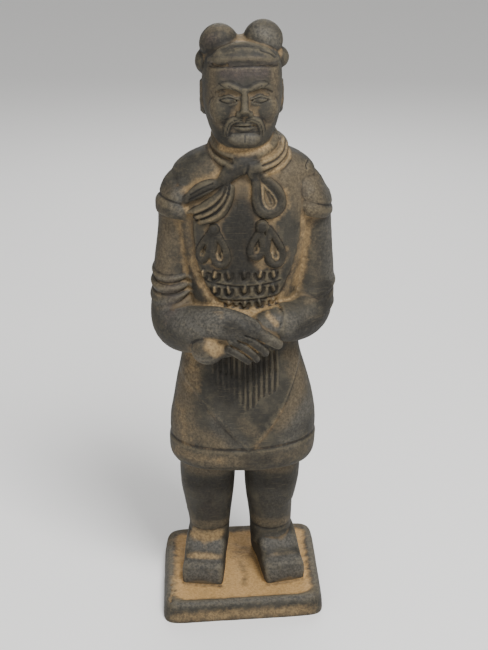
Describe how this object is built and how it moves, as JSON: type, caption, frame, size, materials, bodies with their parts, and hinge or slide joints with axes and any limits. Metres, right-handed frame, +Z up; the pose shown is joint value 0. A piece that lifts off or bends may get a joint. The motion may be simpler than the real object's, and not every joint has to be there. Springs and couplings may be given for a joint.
{
  "type": "terracotta warrior statue",
  "caption": "Standing armoured general in smoked terracotta, hands crossed before the belly, on a rectangular plinth moulded with the figure.",
  "frame": {"origin": "on the plinth's flat underside, under the middle of the figure", "axes": "+Z up, the figure faces -Y, +X is the right-hand side as seen from the front"},
  "size_m": [0.1156, 0.0993, 0.3798],
  "materials": {
    "smoked_terracotta": "matt, dark smoked grey on the raised parts with ochre clay dust left in the hollows"
  },
  "bodies": {
    "root": {"warrior_statue": "smoked_terracotta"}
  },
  "joints": []
}
